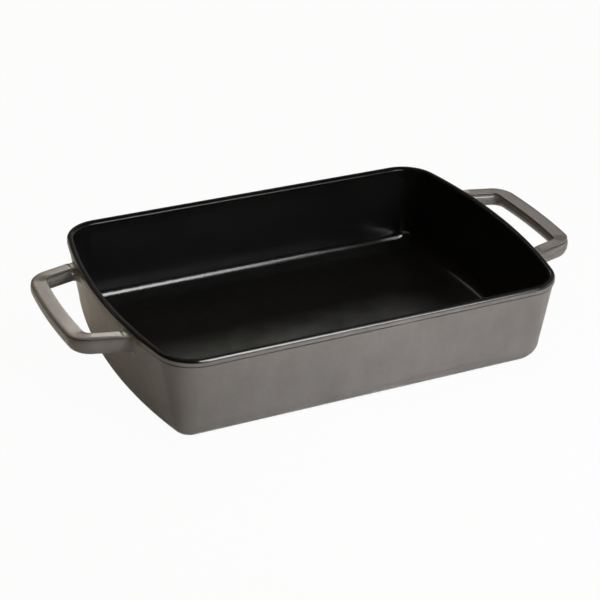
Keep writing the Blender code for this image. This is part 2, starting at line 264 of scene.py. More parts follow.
def ring(section, inset, height, least_corner):
    """Points of a closed outline in plan, moved inwards by an inset, from the +X axis all the way round."""
    centre, radius = end_arc(section)
    half_width = section[1] - inset
    radius = radius - inset
    corner = max(section[3] - inset, least_corner)
    reach = math.sqrt((radius - corner) ** 2 - (half_width - corner) ** 2)
    tangent = math.atan2(half_width - corner, reach)
    quarter = []
    for step in range(END_STEPS):
        angle = tangent * step / END_STEPS
        quarter.append((centre + radius * math.cos(angle), radius * math.sin(angle)))
    for step in range(CORNER_STEPS):
        angle = tangent + (QUARTER_TURN - tangent) * step / CORNER_STEPS
        across = half_width - corner + corner * math.sin(angle)
        quarter.append((centre + reach + corner * math.cos(angle), across))
    for step in range(SIDE_STEPS + 1):
        quarter.append(((centre + reach) * (1 - step / SIDE_STEPS), half_width))
    half = quarter + [(-x, y) for x, y in quarter[-2::-1]]
    whole = half + [(x, -y) for x, y in half[-2:0:-1]]
    return [Vector((x, y, height)) for x, y in whole]


def base_edge_ring(sizes, depth, angle):
    """A ring on the round edge under the walls, from angle 0 at the wall to a quarter turn at the base."""
    section = wall_section(sizes, sizes.base_edge)
    radius = sizes.base_edge - depth
    inset = sizes.base_edge - radius * math.cos(angle)
    height = sizes.base_edge - radius * math.sin(angle)
    corner = section[3] + (sizes.base_corner - section[3]) * (1 - math.cos(angle))
    return ring((*section[:3], corner + inset), inset, height, sizes.base_corner)


def coat_stop_angle(sizes):
    """Where on the round base edge the outer coat ends."""
    return math.asin(1 - sizes.coat_stop / sizes.base_edge)


def bead_inset(sizes, height):
    """How far the outside lies inside the line of the wall, at a height. It is negative on the bead."""
    if height <= sizes.height - sizes.bead_height:
        return 0.0
    return -sizes.bead_proud


def end_wall_x(sizes, y, height):
    """Where the outside of the +X end lies, on its shallow arc."""
    centre, radius = end_arc(wall_section(sizes, height))
    radius = radius - bead_inset(sizes, height)
    return centre + math.sqrt(radius**2 - y**2)


def outer_profile(sizes):
    """Height and inset of the outside, upwards: the wall, the groove and the bead with its flared edge."""
    bottom = sizes.height - sizes.bead_height
    groove = sizes.bead_groove
    proud = sizes.bead_proud
    first = sizes.base_edge
    last = bottom - WALL_END
    points = [(first + (last - first) * step / WALL_STEPS, 0.0) for step in range(1, WALL_STEPS + 1)]
    for above, share in GROOVE_SHAPE:
        points.append((bottom + above * MM, groove * share))
    for above, share in BEAD_EDGE_SHAPE:
        points.append((bottom + above * MM, -proud * share))
    edge = BEAD_EDGE_SHAPE[-1][0] * MM
    under = sizes.height - sizes.coat_edge + GREY_LAP
    for step in range(1, BEAD_STEPS + 1):
        share = step / BEAD_STEPS
        height = bottom + edge + (under - bottom - edge) * share
        points.append((height, -proud + sizes.bead_flare * (1 - (1 - share) ** 2)))
    points.append((under, GREY_LAP_INSET))
    return points


def black_face(sizes):
    """Inset of the black coat's upright face, just behind the face of the bead."""
    return -sizes.bead_proud + BLACK_SETBACK


def rim_profile(sizes):
    """Drop from the top and inset of the black coat's outer side, from its edge up to the top of the rim.

    Each arc is a radius and how many degrees the surface has turned from level where it ends.
    """
    drop, reach = 0.0, 0.0
    points = [(drop, reach)]
    turned = 0.0
    arcs = (
        (sizes.rim_roof, 14.0), (sizes.rim_crown, 58.0), (sizes.rim_shoulder, 70.0), (sizes.rim_brow, 90.0),
    )
    for radius, turn in arcs:
        for step in range(1, RIM_EDGE_STEPS + 1):
            before = math.radians(turned + (turn - turned) * (step - 1) / RIM_EDGE_STEPS)
            after = math.radians(turned + (turn - turned) * step / RIM_EDGE_STEPS)
            drop += radius * (math.cos(before) - math.cos(after))
            reach += radius * (math.sin(after) - math.sin(before))
            points.append((drop, reach))
        turned = turn
    face = black_face(sizes)
    return [(drop, face + points[-1][1] - reach) for drop, reach in reversed(points)]


def new_mesh(name, surface):
    """A smooth mesh from a bmesh, with its hard edges marked."""
    bmesh.ops.remove_doubles(surface, verts=surface.verts, dist=WELD_DISTANCE)
    bmesh.ops.recalc_face_normals(surface, faces=surface.faces)
    mesh = bpy.data.meshes.new(name)
    surface.to_mesh(mesh)
    surface.free()
    mesh.shade_smooth()
    mesh.set_sharp_from_angle(angle=SHARP_ANGLE)
    return mesh


def loft(surface, rings, closed_loft=False, marked=None):
    """Faces between neighbouring rings. Returns the rows of vertices.

    The marked test takes a row and a column and tells whether the face there has the second material.
    """
    rows = [[surface.verts.new(point) for point in points] for points in rings]
    pairs = list(zip(rows, rows[1:]))
    if closed_loft:
        pairs.append((rows[-1], rows[0]))
    for row, (lower, upper) in enumerate(pairs):
        for column in range(len(lower)):
            following = (column + 1) % len(lower)
            face = surface.faces.new((lower[column], lower[following], upper[following], upper[column]))
            if marked and marked(row, column):
                face.material_index = 1
    return rows


def add_piece(name, mesh, materials, nodes):
    """An object that stands for CAD nodes, rides on the pan and carries its materials."""
    for material in materials:
        mesh.materials.append(material)
    piece = bpy.data.objects.new(name, mesh)
    bpy.context.scene.collection.objects.link(piece)
    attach(piece, "root")
    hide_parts(*nodes)


def outer_coat_mesh(sizes):
    """The outer coat as a closed skin, from just above the table to under the inner coat's edge."""
    stop = coat_stop_angle(sizes)
    least = sizes.base_corner

    def base_edge_rings(depth, steps):
        """Rings up the round base edge, at a depth under the surface."""
        return [base_edge_ring(sizes, depth, stop * (1 - step / steps)) for step in range(steps + 1)]

    outside = base_edge_rings(0.0, BASE_EDGE_STEPS)
    # Faces sunk past that depth get the second material, the dark grey painted as shade in the groove.
    sunk = [False] * len(outside)
    for height, inset in outer_profile(sizes):
        outside.append(ring(wall_section(sizes, height), inset, height, least))
        sunk.append(inset > GROOVE_SHADE_DEPTH)
    depth = sizes.coat + GAP_FILL
    inside = base_edge_rings(depth, HIDDEN_EDGE_STEPS)
    for height in (sizes.height - sizes.bead_height, sizes.height - sizes.coat_edge):
        inside.append(ring(wall_section(sizes, height), depth, height, least))
    sunk += [False] * len(inside)
    surface = bmesh.new()
    loft(
        surface, outside + inside[::-1], closed_loft=True,
        marked=lambda row, _column: sunk[row] and sunk[row + 1],
    )
    return new_mesh("outer_enamel_coat", surface)


def wander(points, amount):
    """Points of a ring moved up and down a little, as the edge of a sprayed coat is."""
    moved = []
    for point in points:
        long_wave = noise.noise(point * LONG_WAVES) * LONG_WAVE_SHARE
        drift = long_wave + noise.noise(point * SHORT_WAVES) * SHORT_WAVE_SHARE
        moved.append(point + Vector((0.0, 0.0, drift * amount)))
    return moved


def inner_coat_mesh(sizes):
    """The inner coat as a closed skin, over the rim, down the walls and across the floor."""
    section = wall_section(sizes, sizes.height)
    least = sizes.inner_corner
    top = sizes.height
    over = []
    for rise, inset in BLACK_EDGE_SHAPE:
        height = top - sizes.coat_edge + rise * MM
        over.append(wander(ring(section, black_face(sizes) + inset * MM, height, least), sizes.coat_waver))
    for drop, inset in rim_profile(sizes):
        over.append(ring(section, inset, top - drop, least))
    edge_start = len(over)
    for step in range(RIM_EDGE_STEPS + 1):
        angle = QUARTER_TURN * (1 - step / RIM_EDGE_STEPS)
        inset = sizes.wall - sizes.rim_inner_edge * (1 - math.cos(angle))
        height = top - sizes.rim_inner_edge * (1 - math.sin(angle))
        over.append(ring(section, inset, height, least))
    bottom = sizes.height - sizes.bead_height
    centre = sizes.floor + sizes.floor_edge
    for step in range(INNER_WALL_STEPS):
        height = bottom + (centre - bottom) * step / INNER_WALL_STEPS
        over.append(ring(wall_section(sizes, height), sizes.wall, height, least))
    low_section = wall_section(sizes, centre)

    def floor_edge_rings(depth, steps):
        """Rings round the edge of the floor, at a depth under the surface."""
        rings = []
        for step in range(steps + 1):
            angle = QUARTER_TURN * step / steps
            inset = sizes.wall + sizes.floor_edge - (sizes.floor_edge + depth) * math.cos(angle)
            height = centre - (sizes.floor_edge + depth) * math.sin(angle)
            rings.append(ring(low_section, inset, height, least + depth))
        return rings

    over += floor_edge_rings(0.0, INNER_EDGE_STEPS)
    depth = sizes.coat + GAP_FILL
    under = [
        ring(section, UNDER_LIP_INSET, top - sizes.coat_edge + UNDER_LIP_RISE, least),
        ring(section, UNDER_TOP_INSET, top - depth, least),
        ring(section, sizes.wall - depth, top - sizes.rim_inner_edge, least + depth),
        ring(wall_section(sizes, bottom), sizes.wall - depth, bottom, least + depth),
    ]
    under += floor_edge_rings(depth, UNDER_EDGE_STEPS)
    surface = bmesh.new()
    edge_start += len(under)
    edge = range(edge_start, edge_start + RIM_EDGE_STEPS)
    rows = loft(surface, under[::-1] + over, marked=lambda row, _column: row in edge)
    surface.faces.new(rows[0][::-1])
    surface.faces.new(rows[-1])
    return new_mesh("inner_enamel_coat", surface)


def handle_line(sizes, handle):
    """Centre line of half the +X handle in plan, and the direction of its arm towards the pan.

    Each entry is (share of the way from bar to arm, point, outward direction).
    """
    inset = handle.body_width / 2
    root = Vector((sizes.rim_length / 2 - sizes.rim_end_bow, handle.root_half_width))
    end = Vector((handle.reach - handle.end_bow, handle.end_half_width))
    along = (end - root).normalized()
    inwards = Vector((along.y, -along.x))
    start = root + inwards * inset
    end_radius = (handle.end_half_width**2 + handle.end_bow**2) / (2 * handle.end_bow)
    end_centre = handle.reach - end_radius
    end_radius = end_radius - inset
    bend = handle.bend - inset
    offset = start + inwards * bend - Vector((end_centre, 0.0))
    projected = offset.dot(along)
    travel = -projected + math.sqrt(projected**2 - offset.dot(offset) + (end_radius - bend) ** 2)
    bend_centre = Vector((end_centre, 0.0)) + offset + along * travel
    bar_angle = math.atan2(bend_centre.y, bend_centre.x - end_centre)
    arm_angle = math.atan2(-inwards.y, -inwards.x)
    line = []
    for step in range(BAR_STEPS):
        angle = bar_angle * step / BAR_STEPS
        out = Vector((math.cos(angle), math.sin(angle)))
        line.append((0.0, Vector((end_centre, 0.0)) + out * end_radius, out))
    for step in range(BEND_STEPS + 1):
        share = step / BEND_STEPS
        angle = bar_angle + (arm_angle - bar_angle) * share
        out = Vector((math.cos(angle), math.sin(angle)))
        line.append((share**2 * (3 - 2 * share), bend_centre + out * bend, out))
    return line, -along


def handle_outline(handle, share, with_plate=True):
    """The section as (outwards, up, way the surface faces), up from the top of the bar, all the way round.

    The share goes from 0 on the bar to 1 on an arm. A flat plate with round edges and a fine groove round
    it lies on a body that swells out under it to a keel. Without its plate the body is plainly round.
    """
    plate = (handle.bar_plate + (handle.arm_plate - handle.bar_plate) * share) / 2
    rise = handle.plate_rise * share
    edge = handle.plate_edge
    lip = handle.lip_depth
    groove = handle.groove
    body = handle.body_width / 2
    foot = (plate - PLATE_FOOT_INSET, rise - lip - PLATE_FOOT_DROP)
    side = []
    for step in range(TOP_EDGE_STEPS + 1):
        turn = QUARTER_TURN * step / TOP_EDGE_STEPS
        side.append((plate - edge * (1 - math.sin(turn)), rise - edge * (1 - math.cos(turn)), turn))
    for depth_share, above in PLATE_GROOVE_SHAPE:
        side.append((plate - depth_share * groove, rise + (above * MM - lip), QUARTER_TURN))
    if not with_plate:
        start = (side[0][0], rise - BARE_SUNK)
        count = len(side)
        side = []
        for step in range(count):
            way = step / count
            swell = BARE_SWELL * math.sin(math.pi * way)
            out = start[0] + (foot[0] - start[0]) * way + swell
            up = start[1] + (foot[1] - start[1]) * way + swell
            side.append((out, up, QUARTER_TURN * (BARE_FACING + BARE_TURN * way)))

    def lower_body(sign):
        """Shoulder, side and keel, outwards for sign 1 and inwards for sign -1."""
        points = []
        spread, depth = body - foot[0], handle.widest + foot[1]
        for step in range(SHOULDER_STEPS):
            turn = QUARTER_TURN * step / SHOULDER_STEPS
            facing = math.atan2(depth * math.sin(turn), spread * math.cos(turn))
            points.append((foot[0] + spread * math.sin(turn), foot[1] - depth * (1 - math.cos(turn)), facing))
        reach = body - sign * handle.keel_offset
        depth = handle.thickness - handle.widest
        for step in range(KEEL_STEPS + 1):
            turn = QUARTER_TURN * step / KEEL_STEPS
            out = sign * handle.keel_offset + reach * math.cos(turn)
            up = -handle.widest - depth * math.sin(turn)
            points.append((out, up, math.atan2(depth * math.cos(turn), -reach * math.sin(turn))))
        return points

    outer = side + lower_body(1)
    inner = side + lower_body(-1)
    top = rise if with_plate else rise - BARE_SUNK
    points = [(0.0, top, 0.0), (plate * PLATE_MIDDLE, top, 0.0)] + outer
    points += [(-out, up, -turn) for out, up, turn in inner[-2::-1]]
    points.append((-plate * PLATE_MIDDLE, top, 0.0))
    return points


def travel_to_wall(sizes, point, along):
    """How far a point has to go along the arm's direction to reach the outside of the end wall."""
    travel = 0.0
    for _try in range(WALL_TRIES):
        here = point + along * travel
        travel += (here.x - end_wall_x(sizes, here.y, here.z)) / -along.x
    return travel


def root_curve(sizes, handle, point, facing, along):
    """Points of the fillet from the side of the arm round onto the wall, then a little way into it."""
    level = max(facing.z, 0.0)
    radius = handle.side_fillet + (handle.top_fillet - handle.side_fillet) * level
    first = travel_to_wall(sizes, point, along)
    lean = (travel_to_wall(sizes, point + facing * radius, along) - first) / radius
    slope = math.sqrt(1 + lean**2)
    centre = first + lean * radius - radius * slope
    last = math.atan2(-lean, 1.0)
    curve = []
    for step in range(ROOT_STEPS + 1):
        share = step / ROOT_STEPS
        turn = -QUARTER_TURN + (last + QUARTER_TURN) * share
        travel = centre + radius * math.cos(turn)
        spread = radius * (1 + math.sin(turn))
        curve.append((share, point + along * travel + facing * spread))
    error = travel_to_wall(sizes, curve[-1][1], along)
    points = [place + along * error * share for share, place in curve]
    points.append(points[-1] + along * ROOT_DEPTH)
    return points


def section_ring(handle, place, out, share, with_plate=True):
    """Points of a section of the loop, and the ways that its surface faces."""
    points, facings = [], []
    for outwards, up, turn in handle_outline(handle, share, with_plate):
        points.append(Vector((*(place + out * outwards), handle.top_height + up)))
        facings.append(Vector((*(out * math.sin(turn)), math.cos(turn))))
    return points, facings


def handle_rings(sizes, handle):
    """Rings of half the +X handle, from mid bar to inside the wall."""
    line, along = handle_line(sizes, handle)
    along = Vector((along.x, along.y, 0.0))
    rings = [section_ring(handle, place, out, share)[0] for share, place, out in line]
    _share, place, out = line[-1]
    plated = rings[-1]
    plain, facings = section_ring(handle, place, out, 1.0, with_plate=False)
    roots = [root_curve(sizes, handle, point, facing, along) for point, facing in zip(plain, facings)]
    middle = Vector((*place, handle.top_height))
    plate_end, body_start = [], []
    for point, bare, curve in zip(plated, plain, roots):
        level = Vector((point.x, point.y, handle.top_height))
        to_bead = (travel_to_wall(sizes, level, along) + travel_to_wall(sizes, middle, along)) / 2
        to_fillet = (curve[0] - bare).dot(along)
        travel = min(to_bead - handle.plate_gap, to_fillet - PLATE_TO_FILLET)
        plate_end.append(point + along * travel)
        body_start.append(bare + along * min(travel + PLATE_TO_BARE, to_fillet - BARE_TO_FILLET))
    for step in range(1, ARM_STEPS + 1):
        rings.append([start.lerp(end, step / ARM_STEPS) for start, end in zip(plated, plate_end)])
    rings.append(body_start)
    for share in (1 / 3, 2 / 3):
        rings.append([start.lerp(curve[0], share) for start, curve in zip(body_start, roots)])
    for step in range(ROOT_STEPS + 2):
        rings.append([curve[step] for curve in roots])
    return rings


def handle_mesh(name, sizes, handle, turned):
    """A whole loop: half of it, and its mirror image across the X axis."""
    half = handle_rings(sizes, handle)
    other = [[Vector((point.x, -point.y, point.z)) for point in points] for points in half[:0:-1]]
    rings = other + half
    if turned:
        rings = [[Vector((-point.x, -point.y, point.z)) for point in points] for points in rings]
    surface = bmesh.new()
    # A root is a bare ring, two on the way to the fillet, the fillet's own and one inside the wall
    root_rows = ROOT_STEPS + 5
    # Two points of the flat top and those of its round edge come before the groove
    groove_start = TOP_EDGE_STEPS + 3
    groove = range(groove_start, groove_start + len(PLATE_GROOVE_SHAPE))

    def in_groove(row, column):
        """Whether a face lies in the groove, on either side of the plate and off the roots, and so gets the
        dark grey of painted shade.
        """
        opposite = len(rings[0]) - 1 - column
        return root_rows <= row < len(rings) - 1 - root_rows and (column in groove or opposite in groove)

    # The groove faces get the second material, a dark grey painted as shade.
    rows = loft(surface, rings, marked=in_groove)
    surface.faces.new(rows[0][::-1])
    surface.faces.new(rows[-1])
    return new_mesh(name, surface)


def new_node(tree, kind, place, **settings):
    """A new node at a place in the tree, with its settings."""
    node = tree.nodes.new(kind)
    node.location = place
    for name, value in settings.items():
        setattr(node, name, value)
    return node


def set_inputs(node, values):
    """A link or a plain value for each input that is named or numbered."""
    for name, value in values.items():
        if isinstance(value, bpy.types.NodeSocket):
            node.id_data.links.new(value, node.inputs[name])
        else:
            node.inputs[name].default_value = value


def cloud(tree, place, coordinates, size, detail, stretch=(1.0, 1.0, 1.0)):
    """A noise whose lumps have a size in metres. The stretch makes them longer along an axis."""
    scaled = new_node(tree, "ShaderNodeVectorMath", (place[0] - 180, place[1]), operation="MULTIPLY")
    set_inputs(scaled, {0: coordinates, 1: [1.0 / (size * factor) for factor in stretch]})
    texture = new_node(tree, "ShaderNodeTexNoise", place)
    set_inputs(texture, {"Vector": scaled.outputs[0], "Scale": 1.0, "Detail": detail, "Roughness": 0.5})
    return texture.outputs["Fac"]


def mixed(tree, place, share, first, second, kind="FLOAT"):
    """A mix of two values or colours, with a share of the second."""
    node = new_node(tree, "ShaderNodeMix", place, data_type=kind)
    set_inputs(node, {"Factor": share, "A": first, "B": second})
    return node.outputs["Result"]


def combined(tree, place, operation, first, second):
    """Two values made into one by an operation."""
    node = new_node(tree, "ShaderNodeMath", place, operation=operation)
    set_inputs(node, {0: first, 1: second})
    return node.outputs[0]


def stretched(tree, place, value, low, high, to_low=0.0, to_high=1.0):
    """A value spread from one range to another, held at its ends."""
    node = new_node(tree, "ShaderNodeMapRange", place)
    set_inputs(node, {"Value": value, "From Min": low, "From Max": high, "To Min": to_low, "To Max": to_high})
    return node.outputs["Result"]


def enamel_group():
    """Fired enamel: clouds of thickness, faint runs down the wall, mottling and an orange peel surface."""
    tree = bpy.data.node_groups.new("Fired enamel", "ShaderNodeTree")
    for way, kind, names in (
        ("INPUT", "NodeSocketColor", ("Thick colour", "Thin colour")),
        ("INPUT", "NodeSocketFloat", ("Smoothest", "Roughest")),
        ("OUTPUT", "NodeSocketColor", ("Color",)),
        ("OUTPUT", "NodeSocketFloat", ("Roughness", "Peel")),
    ):
        for name in names:
            tree.interface.new_socket(name=name, in_out=way, socket_type=kind)
    given = new_node(tree, "NodeGroupInput", (-900, 0)).outputs
    end = new_node(tree, "NodeGroupOutput", (900, 0))
    place = new_node(tree, "ShaderNodeTexCoord", (-900, -300)).outputs["Object"]
    wide = cloud(tree, (-500, 300), place, size=45 * MM, detail=3.0)
    runs = cloud(tree, (-500, 60), place, size=11 * MM, detail=2.0, stretch=(1.0, 1.0, 5.0))
    mottle = cloud(tree, (-500, -180), place, size=3.2 * MM, detail=3.0)
    thickness = mixed(tree, (-250, 200), 0.32, wide, runs)
    thickness = mixed(tree, (-50, 200), 0.18, thickness, mottle)
    thickness = stretched(tree, (150, 200), thickness, 0.32, 0.68)
    colour = mixed(tree, (400, 200), thickness, given["Thick colour"], given["Thin colour"], "RGBA")
    sheen = cloud(tree, (-500, -420), place, size=16 * MM, detail=4.0)
    sheen = stretched(tree, (150, -100), sheen, 0.3, 0.7)
    roughness = mixed(tree, (400, -100), sheen, given["Smoothest"], given["Roughest"])
    ripples = cloud(tree, (-500, -660), place, size=2.6 * MM, detail=1.0)
    grain = cloud(tree, (-500, -900), place, size=0.9 * MM, detail=2.0)
    peel = mixed(tree, (150, -600), 0.35, ripples, grain)
    set_inputs(end, {"Color": colour, "Roughness": roughness, "Peel": peel})
    return tree


def new_material(name):
    """A material with a Principled BSDF, and that node."""
    material = bpy.data.materials.new(name)
    material.use_nodes = True
    return material, material.node_tree, material.node_tree.nodes["Principled BSDF"]


def bump(tree, place, height, distance):
    """The normal of a surface that rises by a distance where the height goes from 0 to 1."""
    node = new_node(tree, "ShaderNodeBump", place)
    set_inputs(node, {"Height": height, "Distance": distance, "Strength": 1.0})
    return node.outputs["Normal"]


def enamel_material(name, thick, thin, smoothest, roughest, peel_height):
    """A material of fired enamel. The group is made once and shared."""
    group = bpy.data.node_groups.get("Fired enamel") or enamel_group()
    material, tree, shader = new_material(name)
    enamel = new_node(tree, "ShaderNodeGroup", (-500, 200), node_tree=group)
    colours = {"Thick colour": (*thick, 1.0), "Thin colour": (*thin, 1.0)}
    set_inputs(enamel, {**colours, "Smoothest": smoothest, "Roughest": roughest})
    made = enamel.outputs
    normal = bump(tree, (-250, -200), made["Peel"], peel_height)
    set_inputs(shader, {"Base Color": made["Color"], "Roughness": made["Roughness"], "Normal": normal})
    return material, shader


def grey_enamel(name, colours, coat_weight):
    """The grey enamel, and a much darker grey painted in the grooves as the shade that falls in them."""
    deep, pale = colours.grey_deep, colours.grey_pale
    material, shader = enamel_material(name, deep, pale, smoothest=0.15, roughest=0.24, peel_height=GREY_PEEL)
    gloss = {"Coat Weight": coat_weight, "Coat Roughness": 0.1, "Coat IOR": 1.4}
    set_inputs(shader, {"Specular IOR Level": 0.45, **gloss})
    # The second material is painted shade: a dark grey with less gloss for the faces deep in the grooves.
    deep, pale = colours.groove_shade_deep, colours.groove_shade_pale
    name = f"{name}, pooled"
    painted_groove_shade, shader = enamel_material(name, deep, pale, smoothest=0.3, roughest=0.4, peel_height=GREY_PEEL)
    set_inputs(shader, {"Specular IOR Level": 0.25})
    return material, painted_groove_shade


def black_enamel(name, sizes, colours, specular, coat_weight):
    """Black enamel: glossy on the walls and round the rim, satin on the floor and the top of the rim."""
    material, shader = enamel_material(
        name, colours.black_deep, colours.black_pale, smoothest=0.13, roughest=0.18, peel_height=BLACK_PEEL
    )
    tree = material.node_tree
    place = new_node(tree, "ShaderNodeTexCoord", (-1100, -500)).outputs["Object"]
    split = new_node(tree, "ShaderNodeSeparateXYZ", (-900, -500))
    set_inputs(split, {0: place})
    height = split.outputs["Z"]
    satin, glossy = (sizes.floor + distance for distance in FLOOR_FADE)
    above = stretched(tree, (-700, -500), height, satin, glossy)
    satin, glossy = (sizes.height - distance for distance in RIM_FADE)
    below = stretched(tree, (-700, -750), height, satin, glossy)
    between = combined(tree, (-600, -600), "MINIMUM", above, below)
    coat = stretched(tree, (-500, -500), between, 0.0, 1.0, SATIN_COAT, coat_weight)
    on_floor = stretched(tree, (-500, -250), above, 0.0, 1.0, FLOOR_ROUGHER, 1.0)
    on_rim = stretched(tree, (-500, -750), below, 0.0, 1.0, RIM_ROUGHER, 1.0)
    rougher = combined(tree, (-350, -500), "MAXIMUM", on_floor, on_rim)
    fired = shader.inputs["Roughness"].links[0].from_socket
    roughness = combined(tree, (-250, 0), "MULTIPLY", fired, rougher)
    set_inputs(shader, {"Roughness": roughness, "Specular IOR Level": specular})
    set_inputs(shader, {"Coat Weight": coat, "Coat Roughness": 0.12, "Coat IOR": 1.42})
    return material


def iron_material(colours):
    """Bare cast iron, ground flat: fine marks along the pan over a mottled grain."""
    material, tree, shader = new_material("Ground cast iron")
    place = new_node(tree, "ShaderNodeTexCoord", (-1100, 0)).outputs["Object"]
    marks = cloud(tree, (-700, 200), place, size=0.35 * MM, detail=2.0, stretch=(60.0, 1.0, 1.0))
    grain = cloud(tree, (-700, -60), place, size=1.4 * MM, detail=4.0)
    patches = cloud(tree, (-700, -320), place, size=22 * MM, detail=3.0)
    pattern = mixed(tree, (-450, 150), 0.4, marks, grain)
    pattern = mixed(tree, (-250, 150), 0.3, pattern, patches)
    brightness = stretched(tree, (-250, 350), pattern, 0.35, 0.65)
    dark, bright = (*colours.iron_dark, 1.0), (*colours.iron_bright, 1.0)
    colour = mixed(tree, (-50, 250), brightness, dark, bright, "RGBA")
    roughness = stretched(tree, (-50, -50), pattern, 0.3, 0.7, 0.35, 0.62)
    normal = bump(tree, (-50, -350), pattern, 0.04 * MM)
    set_inputs(shader, {"Base Color": colour, "Roughness": roughness, "Normal": normal, "Metallic": 0.85})
    return material


class PAN_OT_outer_coat(bpy.types.Operator):
    """Build the grey enamel coat with its rim bead, and give the bare foot its ground iron."""

    bl_idname = "pan.outer_coat"
    bl_label = "Outer coat and foot"

    def execute(self, context):
        scene = context.scene
        materials = grey_enamel("Grey wall enamel", scene.enamel_colours, coat_weight=0.2)
        mesh = outer_coat_mesh(scene.pan_sizes)
        add_piece("outer_enamel_coat", mesh, materials, ["outer_enamel"])
        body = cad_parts["pan_body"]
        body.data.materials.clear()
        body.data.materials.append(iron_material(scene.enamel_colours))
        return {"FINISHED"}


class PAN_OT_inner_coat(bpy.types.Operator):
    """Build the black enamel coat over the rim, the inner walls and the cooking floor."""

    bl_idname = "pan.inner_coat"
    bl_label = "Inner coat"

    def execute(self, context):
        scene = context.scene
        sizes, colours = scene.pan_sizes, scene.enamel_colours
        materials = (
            black_enamel("Black cooking enamel", sizes, colours, specular=0.3, coat_weight=0.68),
            black_enamel("Black rim edge enamel", sizes, colours, specular=0.16, coat_weight=0.12),
        )
        add_piece("inner_enamel_coat", inner_coat_mesh(sizes), materials, ["inner_enamel"])
        return {"FINISHED"}


class PAN_OT_handles(bpy.types.Operator):
    """Build the two loop handles with their fillets into the wall."""

    bl_idname = "pan.handles"
    bl_label = "Loop handles"

    def execute(self, context):
        scene = context.scene
        materials = grey_enamel("Grey handle enamel", scene.enamel_colours, coat_weight=0.6)
        for side, turned in (("right", False), ("left", True)):
            name = f"{side}_loop_handle"
            mesh = handle_mesh(name, scene.pan_sizes, scene.handle_sizes, turned)
            add_piece(name, mesh, materials, [f"{side}_handle"])
        return {"FINISHED"}


def floor_material(white_share, gloss_share):
    """A pale matt floor that keeps the shadow and can't be seen from below.

    A share of it is plain white in the picture, so the shadow stays light, and another share in gloss.
    """
    material, tree, shader = new_material("Pale studio floor")
    set_inputs(shader, {"Base Color": (0.58, 0.58, 0.58, 1.0), "Roughness": 0.9, "Specular IOR Level": 0.1})
    path = new_node(tree, "ShaderNodeLightPath", (-800, 300)).outputs
    in_picture = stretched(tree, (-400, 300), path["Is Camera Ray"], 0.0, 1.0, 0.0, white_share)
    in_gloss = stretched(tree, (-400, 60), path["Is Glossy Ray"], 0.0, 1.0, 0.0, gloss_share)
    share = combined(tree, (-200, 300), "MAXIMUM", in_picture, in_gloss)
    white = new_node(tree, "ShaderNodeEmission", (0, 100))
    set_inputs(white, {"Color": (1.0, 1.0, 1.0, 1.0)})
    pale = new_node(tree, "ShaderNodeMixShader", (200, 300))
    set_inputs(pale, {0: share, 1: shader.outputs["BSDF"], 2: white.outputs["Emission"]})
    side = new_node(tree, "ShaderNodeNewGeometry", (0, 600))
    clear = new_node(tree, "ShaderNodeBsdfTransparent", (200, 500))
    whole = new_node(tree, "ShaderNodeMixShader", (450, 300))
    set_inputs(whole, {0: side.outputs["Backfacing"], 1: pale.outputs[0], 2: clear.outputs[0]})
    set_inputs(tree.nodes["Material Output"], {"Surface": whole.outputs[0]})
    return material


def add_floor():
    """A wide round floor under the pan."""
    surface = bmesh.new()
    bmesh.ops.create_circle(surface, cap_ends=True, radius=6.0, segments=96)
    mesh = bpy.data.meshes.new("studio_floor")
    surface.to_mesh(mesh)
    surface.free()
    mesh.materials.append(floor_material(white_share=0.96, gloss_share=0.05))
    floor = bpy.data.objects.new("studio_floor", mesh)
    bpy.context.scene.collection.objects.link(floor)


def add_world():
    """Soft light, brightest from above and a little to the right, and warmer from the left.

    The camera sees plain white. Gloss sees a white backdrop low on the right that fades into the dark.
    """
    world = bpy.data.worlds.new("Studio")
    world.use_nodes = True
    tree = world.node_tree
    path = new_node(tree, "ShaderNodeLightPath", (-900, 300)).outputs
    sky = new_node(tree, "ShaderNodeTexCoord", (-1300, -200)).outputs["Generated"]

    def along(node_y, direction):
        """How far the seen direction in the sky lies along a given one."""
        product = new_node(tree, "ShaderNodeVectorMath", (-900, node_y), operation="DOT_PRODUCT")
        set_inputs(product, {0: sky, 1: direction})
        return product.outputs["Value"]

    overhead = along(50, (0.31, -0.1, 1.0))
    light = stretched(tree, (-650, 50), overhead, low=-0.4, high=1.1, to_low=0.02, to_high=0.48)
    leftwards = along(-200, (-1.0, 0.0, 0.8))
    backdrop = stretched(tree, (-650, -200), leftwards, low=-0.85, high=-0.30, to_low=1.0, to_high=0.03)
    strength = mixed(tree, (-400, 100), path["Is Glossy Ray"], light, backdrop)
    strength = mixed(tree, (-200, 100), path["Is Camera Ray"], strength, 1.0)
    rightwards = along(-450, (1.0, 0.0, 0.0))
    cream = stretched(tree, (-650, -450), rightwards, low=-0.8, high=0.1)
    colour = mixed(tree, (-200, -200), cream, (1.0, 0.74, 0.42, 1.0), (1.0, 0.96, 0.86, 1.0), "RGBA")
    colour = mixed(tree, (0, -200), path["Is Camera Ray"], colour, (1.0, 1.0, 1.0, 1.0), "RGBA")
    set_inputs(tree.nodes["Background"], {"Color": colour, "Strength": strength})
    bpy.context.scene.world = world


